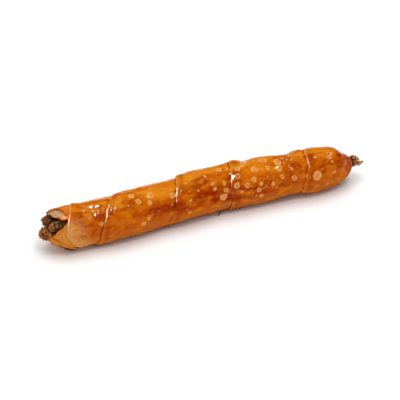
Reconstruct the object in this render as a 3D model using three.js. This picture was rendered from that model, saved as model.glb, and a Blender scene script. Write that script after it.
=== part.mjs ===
// Wrapped meat roll: a long baked roll. One strip of glazed dough is wound in an overlapping helix
// round a stick of coarse minced meat, which stands out of the open mouth at the -X end and of the
// narrow neck at the +X end. Millimetres, +X along the roll, +Z up, origin under the roll's middle.
import * as THREE from 'three';
import { mergeVertices } from 'three/addons/utils/BufferGeometryUtils.js';

// ------------------------------------------------------------------ driving dimensions
// Filling: one lumpy stick.
const fillingDiameter = 24;
const fillingLumpDepth = 3;
const fillingTipDiameter = 10.5;
const mouthProud = 11;
const neckProud = 13;
const lobeSetBack = 5;
const lobeGroove = 3;
const tipNotch = 2.4;

// Wrap: the wound strip, baked into one piece.
const wrapLength = 286;
const wrapWall = 7.7;
const neckWall = 1;
const neckTaper = 38;
const mouthRounding = 15;
const mouthSlant = 8;

// Seams: the leading edge of each turn stands a lip above the turn that it laps.
const firstSeamFromMouth = 41;
const seamPitch = 65;
const mouthTurnPitch = 36;
const seamLean = 23;
const seamLip = 2.2;
const seamFade = 22;

// Lie of the roll.
const rollBow = 5;
const bowLength = 200;
const bowMiddle = 10;
const neckDroop = 1.6;
const mouthRise = 2.4;
const bakedFlatDepth = 1.3;
const surfaceWave = 0.45;

// Fit between the two pieces.
const fitGap = 0.3;

// Fineness of the meshes.
const wrapSegments = 32;
const wrapStationPitch = 3.6;
const hiddenStationPitch = 10;
const fillingSegments = 20;
const shownStationPitch = 2.2;
const endRings = 5;

// ------------------------------------------------------------------ worked out from those
const boreRadius = fillingDiameter / 2 + fitGap;
const outerRadius = boreRadius + wrapWall;
const tipRadius = fillingTipDiameter / 2;
const neckBoreRadius = tipRadius + fitGap;
const neckRadius = neckBoreRadius + neckWall;
const mouthEnd = -wrapLength / 2;
const neckEnd = wrapLength / 2;
const floorHeight = outerRadius - bakedFlatDepth;

// Angles run round the roll from the underside, over the front (-Y) and the top.
const seamAngle = 0.64;
const mouthSlantAngle = 2.1;
const fullTurn = 2 * Math.PI;

// 0 before start, 1 after end, smooth between.
function ease(value, start, end) {
  return THREE.MathUtils.smoothstep((value - start) / (end - start), 0, 1);
}

// ------------------------------------------------------------------ shared shape of the roll
// Centre of the roll at a distance along it: bowed sideways, with the neck end drawn down and forward.
function centreLine(along) {
  const bow = rollBow * (1 + Math.cos(fullTurn * (along - bowMiddle) / bowLength)) / 2;
  const droop = neckDroop * ease(along, neckEnd - 1.4 * neckTaper, neckEnd);
  return { y: bow - droop, z: floorHeight - 0.7 * droop };
}

// The filling and its bore rise a little towards the mouth, where the underside of the wrap is thickest.
function fillingLine(along) {
  const centre = centreLine(along);
  const rise = mouthRise * (1 - ease(along, mouthEnd, mouthEnd + 70));
  return { y: centre.y + 0.5 * rise, z: centre.z + rise };
}

// Radius of the stick's envelope: full in the wrap, drawn in to the tip before the neck.
function fillingEnvelope(along, full, tip) {
  return full + (tip - full) * ease(along, neckEnd - 1.3 * neckTaper, neckEnd - 0.35 * neckTaper);
}

function placeRound(line, along, angle, radius) {
  return new THREE.Vector3(along, line.y - radius * Math.sin(angle), line.z - radius * Math.cos(angle));
}

// Revolves a profile of (radius, distance along) points and hands every vertex to shape(), which
// returns its place in the roll. The lathe turns the opposite way to the roll's own angle.
function revolve(profile, segments, shape) {
  const geometry = new THREE.LatheGeometry(profile, segments);
  geometry.deleteAttribute('normal');
  geometry.deleteAttribute('uv');
  const position = geometry.getAttribute('position');
  for (let index = 0; index < position.count; index += 1) {
    const step = index % profile.length;
    const turned = Math.floor(index / profile.length) % segments;
    const angle = fullTurn * ((segments - turned) % segments) / segments;
    const place = shape(profile[step], angle, step);
    position.setXYZ(index, place.x, place.y, place.z);
  }
  const welded = mergeVertices(geometry, 1e-4);
  welded.computeVertexNormals();
  return welded;
}

function stations(from, to, pitch) {
  const count = Math.max(1, Math.round(Math.abs(to - from) / pitch));
  return Array.from({ length: count + 1 }, (_, index) => from + (to - from) * index / count);
}

// The bore and the filling share these rings, so that their faces keep the gap between them.
const hiddenStations = stations(mouthEnd, neckEnd, hiddenStationPitch);

// ------------------------------------------------------------------ wrap
// Place of the strip's leading edge after a number of turns, counted from the first seam's underside.
function seamPlace(turns) {
  const first = mouthEnd + firstSeamFromMouth;
  if (turns < 0) return first + mouthTurnPitch * turns;
  const lean = seamLean * ease(turns, 0, 2.5);
  return first + seamPitch * turns - lean * (1 - Math.cos(fullTurn * turns)) / 2;
}

// Height of the strip above the bare roll: a lip at each leading edge that sinks away along the turn.
function lapHeight(along, angle) {
  const partTurn = (angle - seamAngle) / fullTurn;
  let sinceSeam = wrapLength;
  for (let turn = -1; seamPlace(turn + partTurn) <= along; turn += 1) {
    sinceSeam = along - seamPlace(turn + partTurn);
  }
  return seamLip * (Math.exp(-sinceSeam / seamFade) - 0.4);
}

function waveHeight(along, angle) {
  return surfaceWave * (Math.sin(along / 9 + 2 * angle) + Math.sin(along / 15 - 3 * angle + 1)) / 2;
}

// Outside of the wrap without its laps: rounded at the mouth, drawn in to the neck.
function wrapEnvelope(along) {
  const toMouth = Math.min(1, (along - mouthEnd) / mouthRounding);
  const toNeck = Math.max(0, (along - neckEnd + neckTaper) / neckTaper);
  const mouthLip = boreRadius + 0.3 * wrapWall;
  const mouthRadius = mouthLip + (outerRadius - mouthLip) * Math.sqrt(1 - (1 - toMouth) ** 2);
  return neckRadius + (mouthRadius - neckRadius) * (1 - toNeck ** 1.6) ** 0.6;
}

function wrapProfile() {
  const outside = stations(mouthEnd, neckEnd, wrapStationPitch)
    .map((along) => new THREE.Vector2(wrapEnvelope(along), along));
  const bore = hiddenStations.toReversed()
    .map((along) => new THREE.Vector2(fillingEnvelope(along, boreRadius, neckBoreRadius), along));
  return { points: [...outside, ...bore, outside[0].clone()], outsideCount: outside.length };
}

// The mouth is cut on a slant, so that it opens towards the front.
function mouthShift(along, angle) {
  const facing = (1 + Math.cos(angle - mouthSlantAngle)) / 2;
  return mouthSlant * facing * (1 - ease(along, mouthEnd, mouthEnd + 2.5 * mouthRounding));
}

function makeWrap() {
  const profile = wrapProfile();
  return revolve(profile.points, wrapSegments, (point, angle, step) => {
    const outside = step < profile.outsideCount || step === profile.points.length - 1;
    const along = point.y + mouthShift(point.y, angle);
    if (!outside) return placeRound(fillingLine(along), along, angle, point.x);
    const free = ease(point.y, mouthEnd, mouthEnd + mouthRounding) * (1 - ease(point.y, neckEnd - 14, neckEnd));
    const radius = point.x + free * (lapHeight(along, angle) + waveHeight(along, angle));
    const place = placeRound(centreLine(along), along, angle, radius);
    place.z = Math.max(place.z, 0);
    return place;
  });
}

// ------------------------------------------------------------------ filling
const mouthCapLength = 7;
const tipCapLength = 3;

// Depth of the hollows between the lumps, 0 to 1.
function lumpHollow(along, angle) {
  const first = Math.sin(along / 2.4 + 2 * angle) * Math.cos(3 * angle - along / 3.1);
  const second = Math.sin(along / 1.7 - angle + 2) * Math.cos(4 * angle + along / 5);
  return 0.5 - 0.3 * first - 0.2 * second;
}

function fillingProfile() {
  const from = mouthEnd - mouthProud;
  const to = neckEnd + neckProud;
  const radiusAt = (along) => fillingEnvelope(along, fillingDiameter / 2, tipRadius);
  const shownMouth = stations(from + mouthCapLength, mouthEnd + mouthSlant, shownStationPitch);
  const hidden = hiddenStations.filter((along) => along > mouthEnd + mouthSlant + shownStationPitch);
  const shownTip = stations(neckEnd, to - tipCapLength, shownStationPitch).slice(1);
  const quarterTurns = stations(0, 1, 1 / endRings).map((part) => part * Math.PI / 2);
  const mouthCap = quarterTurns.slice(0, -1).map((turn) => new THREE.Vector2(
    radiusAt(from) * Math.sin(turn), from + mouthCapLength * (1 - Math.cos(turn))));
  const tipCap = quarterTurns.slice(1).map((turn) => new THREE.Vector2(
    tipRadius * Math.cos(turn), to - tipCapLength * (1 - Math.sin(turn))));
  const stick = [...shownMouth, ...hidden, ...shownTip]
    .map((along) => new THREE.Vector2(radiusAt(along), along));
  return [...mouthCap, ...stick, ...tipCap];
}

// At the mouth the stick ends in two lobes, the upper one set back and a groove between them, and at
// the neck it ends in a notch.
function endShift(point, height) {
  const atMouth = 1 - ease(point.y, mouthEnd - mouthProud, mouthEnd);
  const upper = ease(height, -2, 4);
  const groove = Math.exp(-(((height - 1) / 2.2) ** 2));
  const atTip = ease(point.y, neckEnd + neckProud - tipCapLength, neckEnd + neckProud);
  const notch = Math.exp(-((height / 1.8) ** 2));
  return atMouth * (lobeSetBack * upper + lobeGroove * groove) - atTip * tipNotch * notch;
}

function makeFilling() {
  return revolve(fillingProfile(), fillingSegments, (point, angle) => {
    const share = point.x / (fillingDiameter / 2);
    const along = point.y + endShift(point, -point.x * Math.cos(angle));
    const radius = point.x - fillingLumpDepth * share * lumpHollow(along, angle);
    return placeRound(fillingLine(along), along, angle, radius);
  });
}

// ------------------------------------------------------------------ assembly
function piece(name, geometry, colour, roughness) {
  const material = new THREE.MeshStandardMaterial({ color: colour, roughness, metalness: 0 });
  const mesh = new THREE.Mesh(geometry, material);
  mesh.name = name;
  return mesh;
}

const group = new THREE.Group();
group.add(piece('wrap', makeWrap(), 0xc66414, 0.25));
group.add(piece('filling', makeFilling(), 0x6b4226, 0.85));

// The bow moves the roll off its own axis, so the whole is set back over the middle of its box.
const box = new THREE.Box3().setFromObject(group);
const middle = box.getCenter(new THREE.Vector3());
group.position.set(-middle.x, -middle.y, -box.min.z);
group.updateMatrixWorld(true);

export default group;
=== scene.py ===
import math
import random

import bmesh
import bpy
import numpy as np
from mathutils import Matrix, Vector


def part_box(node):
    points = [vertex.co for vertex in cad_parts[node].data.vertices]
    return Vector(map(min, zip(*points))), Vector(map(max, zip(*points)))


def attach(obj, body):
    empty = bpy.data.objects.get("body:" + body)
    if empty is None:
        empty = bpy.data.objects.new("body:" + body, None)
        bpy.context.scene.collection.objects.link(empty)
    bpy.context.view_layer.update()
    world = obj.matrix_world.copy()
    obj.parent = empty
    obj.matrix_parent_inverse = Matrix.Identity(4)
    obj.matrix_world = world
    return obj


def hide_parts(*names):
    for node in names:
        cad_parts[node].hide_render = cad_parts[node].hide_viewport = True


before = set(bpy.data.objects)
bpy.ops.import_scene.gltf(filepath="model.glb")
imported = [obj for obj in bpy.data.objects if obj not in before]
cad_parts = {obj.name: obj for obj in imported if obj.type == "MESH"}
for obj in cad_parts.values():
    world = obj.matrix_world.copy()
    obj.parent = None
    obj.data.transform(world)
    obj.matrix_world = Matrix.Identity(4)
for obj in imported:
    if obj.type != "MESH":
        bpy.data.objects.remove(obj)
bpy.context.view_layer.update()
scene = bpy.context.scene

# ------------------------------------------------------------
# Wrap. One strip of dough, rolled thin and wound left to right in a left-handed helix, each turn
# lapping the one before it. Brushed with glaze and baked on its flat underside, so the turns are
# fused and every leading edge stands proud as a lip. All working sizes are in millimetres.
MM = 0.001
wrap_low, wrap_high = (np.array(corner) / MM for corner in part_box("wrap"))
floor_z = wrap_low[2]
neck_x = wrap_high[0]
roll_radius = 20.0
baked_flat = 1.3
bow_depth, bow_length, bow_middle = 5.0, 200.0, 10.0
neck_droop, neck_zone = 1.6, 53.0

# fineness of the skin: points round a turn, and rows along it
around, turn_rows = 176, 110
seam_start = math.radians(36.7)
strip_thickness = 0.95
edge_run, swell_run = 20.0, 13.0
neck_dent, neck_dent_x, neck_dent_angle = 2.0, 136.0, 220.0
neck_trim = 0.4
sole_softness = 0.4
# a lip's curled edge, from the lapped turn up: (distance from the seam, share of the step up)
lip = ((1.5, 0.0), (0.7, 0.1), (0.15, 0.32), (0.0, 0.58), (0.18, 0.79), (0.65, 0.93), (1.5, 1.0))
# how the strip's rims turn in: (step along the roll, step deeper)
mouth_curl = ((-0.35, 0.15), (-0.25, 0.35), (0.05, 0.4), (0.4, 0.35), (1.6, 0.2), (6, 0.6), (10, 0.6))
neck_curl = ((0.3, 0.2), (0.05, 0.3), (-0.3, 0.25), (-1.5, -0.4), (-5, -4.5))


def smooth_through(places, values, at):
    """A smooth curve through given values, level beyond the first and the last."""
    places, values = np.asarray(places, float), np.asarray(values, float)
    slopes = np.gradient(values, places)
    at = np.clip(at, places[0], places[-1])
    index = np.clip(np.searchsorted(places, at) - 1, 0, len(places) - 2)
    step = places[index + 1] - places[index]
    t = (at - places[index]) / step
    return (
        values[index] * (1 + 2 * t) * (1 - t) ** 2
        + slopes[index] * step * t * (1 - t) ** 2
        + values[index + 1] * t * t * (3 - 2 * t)
        + slopes[index + 1] * step * t * t * (t - 1)
    )


def ease(value, start, end):
    """0 before start, 1 after end, smooth between."""
    t = np.clip((value - start) / (end - start), 0, 1)
    return t * t * (3 - 2 * t)


def bell(value, middle, width):
    return np.exp(-(((value - middle) / width) ** 2))


def turn_apart(angle, other):
    """How far apart two angles round the roll are, in radians, the short way."""
    return np.abs((angle - other + math.pi) % (2 * math.pi) - math.pi)


def roll_centre(x):
    """The roll lies in a slow bow, and its neck end is drawn a little down and forward."""
    droop = neck_droop * ease(x, neck_x - neck_zone, neck_x)
    y = bow_depth * np.cos(2 * math.pi * (x - bow_middle) / bow_length) / 2 - droop
    return y, floor_z + roll_radius - baked_flat - 0.7 * droop


def seam_place(turns):
    """Where the strip's leading edge lies after so many turns, by quarter turns from the underside."""
    quarters = (-3, -2, -1, 0, 0.25, 0.5, 0.75, 1, 1.25, 1.5, 1.75, 2, 2.25, 2.5, 2.75, 3,
                3.12, 3.25, 3.5, 3.75, 4, 5, 6)
    places = (-296, -231, -171, -109, -100, -82, -61, -42, -33, -21, -1, 19, 20.5, 32, 60, 88,
              88, 93, 102, 126, 156, 221, 286)
    wander = 0.45 * np.sin(33 * turns) + 0.3 * np.sin(71 * turns + 1)
    return smooth_through(quarters, places, turns) + wander


def roll_body(x):
    """Radius of the roll under its laps, from the mouth to the neck."""
    places = (-146, -139, -132, -124, -110, -100, -80, -45, -20, 20, 60,
              80, 95, 108, 116, 123, 130, 135, 138.5, 141, 142.6)
    radii = (15.2, 17.6, 18.9, 19.2, 18.6, 18.7, 19.2, 19.0, 19.1, 19.3, 19.2,
             18.5, 19.0, 18.9, 18.3, 17.7, 15.9, 13.0, 10.4, 7.8, 6.0)
    return smooth_through(places, radii, x)


def lap_swell(since_seam, turns):
    """Height of a turn above the roll's body: the strip's own edge, then the swelling behind it."""
    uneven = 1 + 0.35 * np.sin(9 * turns + 2) + 0.25 * np.sin(23 * turns) + 0.15 * np.sin(57 * turns)
    edge = strip_thickness * uneven
    swell = 0.95 + 0.35 * np.sin(5 * turns + 1)
    since = np.maximum(since_seam, 0)
    return edge * np.exp(-since / edge_run) + swell * (since / swell_run) * np.exp(1 - since / swell_run)


def soft_spots(x, angle, spots):
    """Adds up soft oval spots, each (place, angle, length, width) and a height where it isn't 1."""
    total = np.zeros_like(x)
    for place, at_angle, length, width, *height in spots:
        across = bell(turn_apart(angle, math.radians(at_angle)), 0, math.radians(width))
        total += (height[0] if height else 1) * bell(x, place, length) * across
    return total


def skin_distance(x, angle, place, at_angle):
    """Distance over the skin from a mark."""
    return np.hypot(x - place, roll_radius * turn_apart(angle, math.radians(at_angle)))


# bumps, pinches and dents that the winding left: (place, angle, length, width, height)
hand_lumps = (
    (32, 214, 8, 42, 2.3), (23, 205, 9, 30, 0.9), (95, 212, 8, 45, 1.5), (56, 150, 22, 40, 0.35),
    (43, 210, 6, 30, -1.6), (-124, 205, 6, 22, 1.2), (-116, 215, 12, 60, -0.9), (84, 200, 10, 40, -0.3),
    (-96, 150, 14, 35, 0.6), (124, 150, 8, 30, 0.7), (129, 60, 9, 40, -1.2), (-64, 90, 20, 30, 0.5),
    (6, 290, 25, 40, 0.8), (-74, 300, 22, 45, -0.7), (71, 320, 20, 35, 0.7), (-24, 250, 18, 30, -0.6),
)

# drops of glaze that set where they ran: (place, angle, half-width, height)
glaze_beads = (
    (80, 170, 1.4, 0.7), (79, 181, 1.1, 0.55), (84, 187, 1.5, 0.7), (103, 152, 1.1, 0.5),
    (112, 151, 1.3, 0.65), (121, 163, 1.5, 0.8), (124, 156, 1.4, 0.75), (128, 139, 1.6, 0.9),
    (118, 138, 1.2, 0.6), (115, 160, 1.2, 0.6), (36, 153, 1.1, 0.5), (39, 169, 1.1, 0.5),
    (37, 135, 1.1, 0.5), (47, 142, 1.2, 0.55), (68, 151, 1.4, 0.7), (79, 94, 1.1, 0.5),
    (60, 140, 1.1, 0.5), (-87, 140, 1.4, 0.55), (-76, 145, 1.4, 0.6), (-53, 130, 1.2, 0.5),
    (-58, 118, 1.2, 0.5), (-26, 143, 1.3, 0.5), (-23, 145, 1.1, 0.45), (-19, 148, 1.0, 0.4),
    (-129, 155, 1.3, 0.5), (-122, 178, 1.1, 0.4), (-113, 177, 1.1, 0.4), (-114, 142, 1.1, 0.4),
    (-107, 141, 1.1, 0.4), (95, 170, 1.3, 0.6), (-45, 205, 1.4, 0.5), (60, 215, 1.4, 0.5),
    (100, 235, 1.4, 0.5), (-90, 240, 1.4, 0.5), (10, 230, 1.4, 0.5),
)


def beads(x, angle):
    height = np.zeros_like(x)
    for place, at_angle, width, rise in glaze_beads:
        height += rise * bell(skin_distance(x, angle, place, at_angle), 0, width)
    return height


# folds in the strip: (place, angle) where each starts and ends, its height and its width
folds = (
    (-65, 118, -36, 112, 0.55, 0.8), (-60, 103, -44, 100, -0.2, 1.6), (-2, 104, 13, 92, 0.45, 0.9),
    (-122, 183, -101, 168, 0.8, 1.3), (-116, 196, -92, 186, 0.7, 1.4), (-108, 158, -96, 150, 0.5, 1.1),
    (-132, 172, -116, 160, 0.6, 1.2), (-88, 196, -70, 190, 0.5, 1.3), (-130, 110, -116, 96, 0.5, 2.0),
    (108, 172, 128, 158, 0.45, 1.3), (104, 196, 124, 186, 0.5, 1.4), (46, 205, 82, 196, 0.45, 1.5),
    (-12, 196, 18, 200, 0.4, 1.5), (-34, 250, 6, 262, 0.6, 1.2), (36, 300, 76, 285, 0.6, 1.3),
    (-104, 270, -64, 255, 0.6, 1.3), (92, 62, 108, 70, 0.35, 1.2), (48, 60, 84, 66, 0.3, 1.3),
)


def off_fold(x, angle, fold):
    """Distance from a fold's line, signed upwards along the skin, and how far along the fold it is."""
    start = np.array((fold[0], math.radians(fold[1]) * roll_radius))
    run = np.array((fold[2], math.radians(fold[3]) * roll_radius)) - start
    arc = angle * roll_radius
    along = np.clip(((x - start[0]) * run[0] + (arc - start[1]) * run[1]) / run.dot(run), 0, 1)
    over = arc - start[1] - along * run[1]
    return np.hypot(x - start[0] - along * run[0], over) * np.sign(over), along


def creases(x, angle):
    """Each fold stands up as a low ridge that grows towards its far end."""
    height = np.zeros_like(x)
    for fold in folds:
        off, along = off_fold(x, angle, fold)
        height += fold[4] * np.exp(-(off / fold[5]) ** 2) * (0.35 + 0.65 * along)
    return height


def mouth_edge(angle):
    """How far towards the mouth the outermost turn reaches: a tongue at the front, drawn back above."""
    degrees = (0, 37, 60, 84, 101, 122, 144, 180, 216, 260, 306, 360)
    places = (-123, -121, -126, -132, -135, -134, -131, -126, -121, -124, -127, -123)
    return smooth_through(degrees, places, np.degrees(angle))


def skin_radius(x, angle, band):
    """Outside of one turn of the strip."""
    start = band + ((angle - seam_start) % (2 * math.pi)) / (2 * math.pi)
    lap = lap_swell(x - seam_place(start), start)
    fade = 1 - ease(x, neck_x - 16, neck_x - 2)
    first = np.where(start < 0, 0.75, 1.0)
    waves = 0.28 * np.sin(x / 9 + 2 * angle) + 0.24 * np.sin(x / 14 - 3 * angle + 1)
    raised = lap * first + waves + soft_spots(x, angle, hand_lumps) + creases(x, angle)
    behind = 1 - ease(turn_apart(angle, math.radians(neck_dent_angle)), 0.4, 1.7)
    sunk = -neck_dent * bell(x, neck_dent_x, 6) * behind
    return roll_body(x) + sunk + fade * raised + beads(x, angle)


def wound_skin():
    """The outer skin as rows that follow the helix. A turn's last row is the next turn's first, with
    the lip's curled edge between. Gives places along, angles, radii, and how near a lip each point is."""
    first_row, last_row = -2 * turn_rows, 4 * turn_rows
    rows = np.arange(first_row, last_row + 1)
    band = np.floor_divide(rows, turn_rows)[:, None]
    row = (rows - band[:, 0] * turn_rows)[:, None]
    part = (np.arange(around) / around)[None, :]
    angle = (seam_start + 2 * math.pi * part + 0 * row) % (2 * math.pi)
    seam = seam_place(band + part)
    following = seam_place(band + 1 + part)
    spread = np.clip((row - len(lip) + 1) / (turn_rows - len(lip) + 1), 0, 1)
    x = seam + lip[-1][0] + spread * (following + lip[0][0] - seam - lip[-1][0])
    share = np.ones_like(x)
    for number, (set_back, rise) in enumerate(lip):
        hit = (row == number)[:, 0]
        x[hit] = (seam + set_back)[hit]
        share[hit] = rise
    below = skin_radius(x, angle, band - 1)
    radius = below + share * (skin_radius(x, angle, band) - below)
    return x, angle, radius, x - seam, following - x


def skin_mesh():
    """The skin as a mesh of unrolled points: along from the mouth's edge, and direction round."""
    x, angle, radius, since, until = wound_skin()
    rows = x.shape[0]
    unrolled = np.stack((x - mouth_edge(angle), np.cos(angle), np.sin(angle)), -1).reshape(-1, 3)
    row, column = np.meshgrid(np.arange(rows - 1), np.arange(around), indexing="ij")
    full_circle = column == around - 1
    next_row = row + turn_rows * full_circle
    next_column = (column + 1) % around
    faces = np.stack((row * around + column, next_row * around + next_column,
                      (next_row + 1) * around + next_column, (row + 1) * around + column), -1)
    mesh = bpy.data.meshes.new("wrap_strip")
    mesh.from_pydata(unrolled.tolist(), [], faces[next_row + 1 < rows].tolist())
    for name, values in (("radius", radius), ("since", since), ("until", until)):
        mesh.attributes.new(name, "FLOAT", "POINT").data.foreach_set("value", values.ravel())
    return mesh


def read_points(mesh):
    values = np.empty(len(mesh.vertices) * 3)
    mesh.vertices.foreach_get("co", values)
    return values.reshape(-1, 3)


def read_numbers(mesh, name):
    values = np.empty(len(mesh.vertices))
    mesh.attributes[name].data.foreach_get("value", values)
    return values


def write_numbers(mesh, name, values):
    layer = mesh.attributes.get(name) or mesh.attributes.new(name, "FLOAT", "POINT")
    layer.data.foreach_set("value", np.asarray(values, float).ravel())


def trim(shape, place, side):
    """Cuts away everything beyond a place along the roll and returns the cut's edges."""
    geometry = shape.verts[:] + shape.edges[:] + shape.faces[:]
    cut = bmesh.ops.bisect_plane(shape, geom=geometry, plane_co=(place, 0, 0), plane_no=(side, 0, 0),
                                 clear_outer=True, dist=1e-5)
    return [part for part in cut["geom_cut"] if isinstance(part, bmesh.types.BMEdge)]


def turn_in(shape, rim, steps):
    """Turns a rim inwards by (step along the roll, step deeper), so that the strip shows its thickness."""
    radius = shape.verts.layers.float["radius"]
    for shift, deeper in steps:
        new = bmesh.ops.extrude_edge_only(shape, edges=rim)["geom"]
        for vertex in (part for part in new if isinstance(part, bmesh.types.BMVert)):
            vertex.co.x += shift
            vertex[radius] -= deeper
        rim = [part for part in new if isinstance(part, bmesh.types.BMEdge)]
    return rim


def make_skin():
    mesh = skin_mesh()
    shape = bmesh.new()
    shape.from_mesh(mesh)
    mouth_rim = trim(shape, 0.0, -1)
    turn_in(shape, mouth_rim, mouth_curl)
    shape.to_mesh(mesh)
    shape.free()
    flat = read_points(mesh)
    flat[:, 0] += mouth_edge(np.arctan2(flat[:, 2], flat[:, 1]) % (2 * math.pi))
    mesh.vertices.foreach_set("co", flat.ravel())
    shape = bmesh.new()
    shape.from_mesh(mesh)
    neck_rim = trim(shape, neck_x - neck_trim, 1)
    turn_in(shape, neck_rim, neck_curl)
    open_edges = [edge for edge in shape.edges if edge.is_boundary]
    bmesh.ops.bridge_loops(shape, edges=open_edges)
    shape.to_mesh(mesh)
    shape.free()
    return mesh


def face_outwards(mesh):
    shape = bmesh.new()
    shape.from_mesh(mesh)
    bmesh.ops.recalc_face_normals(shape, faces=shape.faces[:])
    shape.to_mesh(mesh)
    shape.free()
    mesh.shade_smooth()
    return mesh


def new_piece(name, mesh):
    piece = bpy.data.objects.new(name, mesh)
    scene.collection.objects.link(piece)
    return piece


def rest_on_table(piece):
    """Flattens whatever the roughening pushed below the underside."""
    points = read_points(piece.data)
    points[:, 2] = np.maximum(points[:, 2], floor_z * MM)
    piece.data.vertices.foreach_set("co", points.ravel())
    piece.data.update()


def place_round(x, angle, radius):
    """Points of the roll, in millimetres, with the underside pressed flat on the tray."""
    centre_y, centre_z = roll_centre(x)
    height = centre_z - radius * np.cos(angle) - floor_z
    height = (height + np.sqrt(height ** 2 + sole_softness)) / 2
    return np.stack((x, centre_y - radius * np.sin(angle), floor_z + height), -1)


skin = make_skin()
flat = read_points(skin)
skin_angle = np.arctan2(flat[:, 2], flat[:, 1]) % (2 * math.pi)
skin_x = flat[:, 0]
skin_points = place_round(skin_x, skin_angle, read_numbers(skin, "radius"))
skin.vertices.foreach_set("co", (skin_points * MM).ravel())

# patches that baked deeper or lighter than the rest: (place, angle, length, width)
deep_patches = (
    (-44, 116, 16, 15), (-56, 112, 10, 9), (-109, 128, 12, 18), (8, 118, 18, 20), (-4, 165, 9, 12),
    (-10, 150, 14, 10), (26, 100, 28, 14), (84, 150, 12, 22), (114, 128, 12, 16), (58, 105, 22, 12),
    (-76, 150, 8, 14), (-122, 150, 8, 12), (128, 150, 7, 25), (16, 240, 30, 25), (-64, 250, 30, 25),
    (2, 120, 22, 12), (136, 120, 6, 40), (36, 96, 26, 10), (-96, 132, 8, 14), (-28, 104, 10, 12),
    (135, 140, 8, 36), (-116, 126, 12, 10), (104, 168, 9, 10), (74, 176, 8, 10), (22, 150, 8, 12),
)
golden_patches = (
    (-12, 172, 14, 18), (-8, 158, 8, 8), (-84, 150, 8, 10), (-40, 150, 10, 10), (-52, 170, 12, 14),
    (3, 190, 16, 14), (58, 192, 22, 14), (112, 172, 9, 18), (-88, 166, 10, 13), (30, 176, 12, 10),
    (90, 178, 9, 12), (-30, 158, 8, 9), (70, 250, 30, 25), (-20, 270, 25, 22), (-95, 240, 18, 22),
)
# specks of burnt meat that came through: (place, angle, half-width)
specks = (
    (98, 139, 1.0), (87, 126, 0.8), (104, 119, 0.6), (67, 105, 0.6), (72, 140, 0.5), (110, 134, 0.5),
    (-20, 132, 0.5), (118, 160, 0.6), (40, 112, 0.4), (-70, 118, 0.4), (95, 205, 0.8), (-30, 230, 0.7),
)

# how baked the strip is, and where light and shade are painted on it: each is a number from 0 to 1 that the
# glaze reads
from_top = turn_apart(skin_angle, math.pi)
from_mouth = skin_x - mouth_edge(skin_angle)
since, until = read_numbers(skin, "since"), read_numbers(skin, "until")
# painted highlight: how strongly each lip's pale line shows, strongest near the top and faint low on the
# front
lip_highlight_share = 0.25 + 0.75 * (1 - ease(turn_apart(skin_angle, 2.9), 0.5, 1.0))
fold_shade, speck = np.zeros_like(skin_x), np.zeros_like(skin_x)
# painted shade: a dark band just beneath each fold, stronger towards its far end
for fold in folds:
    off, along = off_fold(skin_x, skin_angle, fold)
    beneath = bell(off, -1.5 * fold[5], fold[5])
    fold_shade = np.maximum(fold_shade, abs(fold[4]) * beneath * (0.4 + 0.6 * along))
for place, at_angle, width in specks:
    speck = np.maximum(speck, np.exp(-(skin_distance(skin_x, skin_angle, place, at_angle) / width) ** 4))
for name, browning_and_painted_light in (
    # the honey along the top is partly thicker glaze and partly painted light from above; the duller, paler
    # flanks are partly thin glaze and partly painted light
    ("shoulder_glaze_and_light", 1 - ease(from_top, 0.2, 1.15)),
    ("flank_glaze_and_light", ease(from_top, 1.3, 2.0)),
    ("underside", ease(from_top, 2.36, 2.8)),
    ("glazed", (1 - ease(from_top, 0.95, 1.4)) * (1 - 0.85 * ease(skin_x, 130, 137))),
    # painted highlight: a pale line along the edge of each lip
    ("lip_light", np.exp(-(since / 1.1) ** 2) * lip_highlight_share),
    # painted shade: deep red in the crease under each lip, and a softer band behind the lip
    ("lip_shade", 1.2 * np.exp(-np.maximum(until, 0) / 1.3) + 0.5 * bell(since, 5, 3)),
    # painted shade beneath each fold
    ("fold_shade", fold_shade),
    ("redder", np.minimum(soft_spots(skin_x, skin_angle, deep_patches), 1)),
    ("golden", np.minimum(soft_spots(skin_x, skin_angle, golden_patches), 1)),
    ("mouth_pale", (1 - ease(from_mouth, 1, 24)) * ease(from_top, 0.5, 1.1)),
    ("mouth_rim", bell(from_mouth, 0, 0.9) + 0.6 * bell(skin_x, neck_x - 0.5, 0.9)),
    ("speck", speck),
):
    write_numbers(skin, name, browning_and_painted_light)
wrap = new_piece("wrap_strip", face_outwards(skin))

# Blisters: steam lifts the glaze into flat domes with a pale, raised edge. The large ones are listed
# as (place along, angle, width); the small ones are strewn where the strip is thickest.
large_blisters = (
    (-71, 171, 5.2), (-67, 150, 5.2), (-54, 158, 6), (-57, 139, 4.4), (-35, 141, 5), (-61, 100, 3.4),
    (-66, 90, 4.4), (-104, 117, 3.6), (-89, 190, 4.2), (-22, 85, 3), (-20, 117, 2.6), (0, 168, 3.2),
    (4, 142, 3.2), (5, 128, 3.6), (15, 136, 3.6), (15, 119, 4.2), (12, 102, 6.6), (15, 179, 5),
    (31, 166, 5.2), (36, 171, 3.6), (39, 185, 6), (46, 156, 7), (28, 146, 5.2), (42, 130, 4.8),
    (35, 119, 4.8), (25, 124, 5.4), (48, 116, 4), (45, 100, 4.4), (47, 84, 3.8), (57, 181, 7),
    (69, 167, 7), (58, 154, 4.4), (68, 147, 5.2), (79, 141, 3.2), (69, 123, 4), (80, 114, 4.8),
    (59, 110, 3.6), (101, 109, 8), (117, 152, 4),
    (51, 225, 6), (24, 240, 5), (66, 250, 6.4), (-44, 235, 5), (-79, 245, 4.6), (1, 262, 4.4), (91, 240, 5),
)
small_blister_tries = 1500
blister_spacing = 0.62
# where a dome starts to rise and where its edge is highest, as shares of its half-width
blister_foot, blister_crest = 1.08, 0.86
strewn_from, strewn_to = -118, 134
strewn_front, strewn_back = 70, 300
strewing = random.Random(11)


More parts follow.
